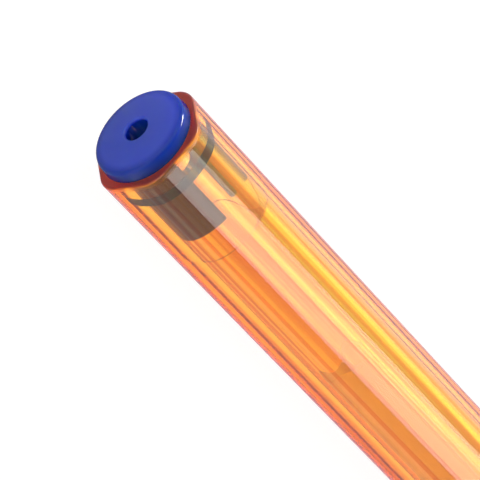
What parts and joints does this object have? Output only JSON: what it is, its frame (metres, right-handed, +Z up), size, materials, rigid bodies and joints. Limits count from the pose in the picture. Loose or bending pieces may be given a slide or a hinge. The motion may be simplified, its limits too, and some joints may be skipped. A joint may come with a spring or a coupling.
{
  "type": "stick ballpoint pen",
  "caption": "Capped stick ballpoint pen: translucent amber barrel with flats and round corners, vented blue end plug, ink tube, metal point and clip cap.",
  "frame": {"origin": "on the resting surface, under the middle of the capped pen", "axes": "+X along the pen towards the point and the cap's closed end, +Z up through the clip and the barrel's top flat"},
  "size_m": [0.1492, 0.0098, 0.0123],
  "materials": {
    "amber_polystyrene": "clear moulded, glossy",
    "blue_polypropylene": "smooth moulded, satin",
    "clear_polypropylene": "clear extruded",
    "blue_ink": "wet paste",
    "milky_polypropylene": "smooth moulded, satin",
    "nickel_silver": "turned, bright",
    "ball_carbide": "ground, fine"
  },
  "bodies": {
    "pen": {"barrel": "amber_polystyrene", "end_plug": "blue_polypropylene", "ink_tube": "clear_polypropylene", "ink_column": "blue_ink", "tip_holder": "milky_polypropylene", "point": "nickel_silver"},
    "ball": {"ball": "ball_carbide"},
    "cap": {"cap": "blue_polypropylene"}
  },
  "joints": [
    {"name": "cap_pull_off", "type": "slide", "parent": "pen", "child": "cap", "axis": [1, 0, 0], "range_m": [0, 0.055]},
    {"name": "ball_roll", "type": "hinge", "parent": "pen", "child": "ball", "pos_m": [0.06948, 0, 0.0049], "axis": [0, 1, 0], "continuous": true}
  ]
}
